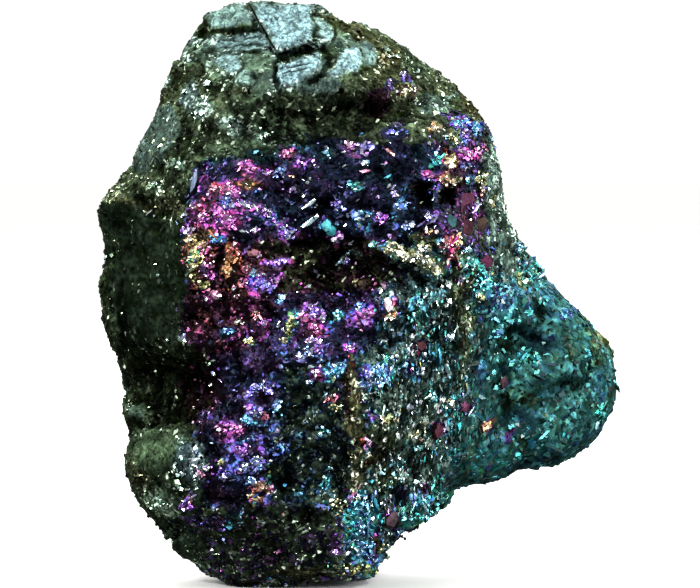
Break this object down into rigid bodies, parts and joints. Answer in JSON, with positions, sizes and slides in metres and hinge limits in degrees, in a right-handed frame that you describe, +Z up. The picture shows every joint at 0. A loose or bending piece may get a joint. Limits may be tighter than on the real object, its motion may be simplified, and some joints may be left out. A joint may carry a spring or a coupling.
{
  "type": "peacock ore",
  "caption": "Rough lump of peacock ore with a tarnished iridescent front and bare metallic grey top, for display or as a paperweight; it stands on a small flat at its base.",
  "frame": {"origin": "centre of the bounding box, on the surface that the stone stands on", "axes": "+Z up, +X to the right of the tarnished face, +Y from the tarnished face into the stone"},
  "size_m": [0.0264, 0.019, 0.0289],
  "materials": {
    "ore": "satin"
  },
  "bodies": {
    "root": {"peacock_ore": "ore"}
  },
  "joints": []
}
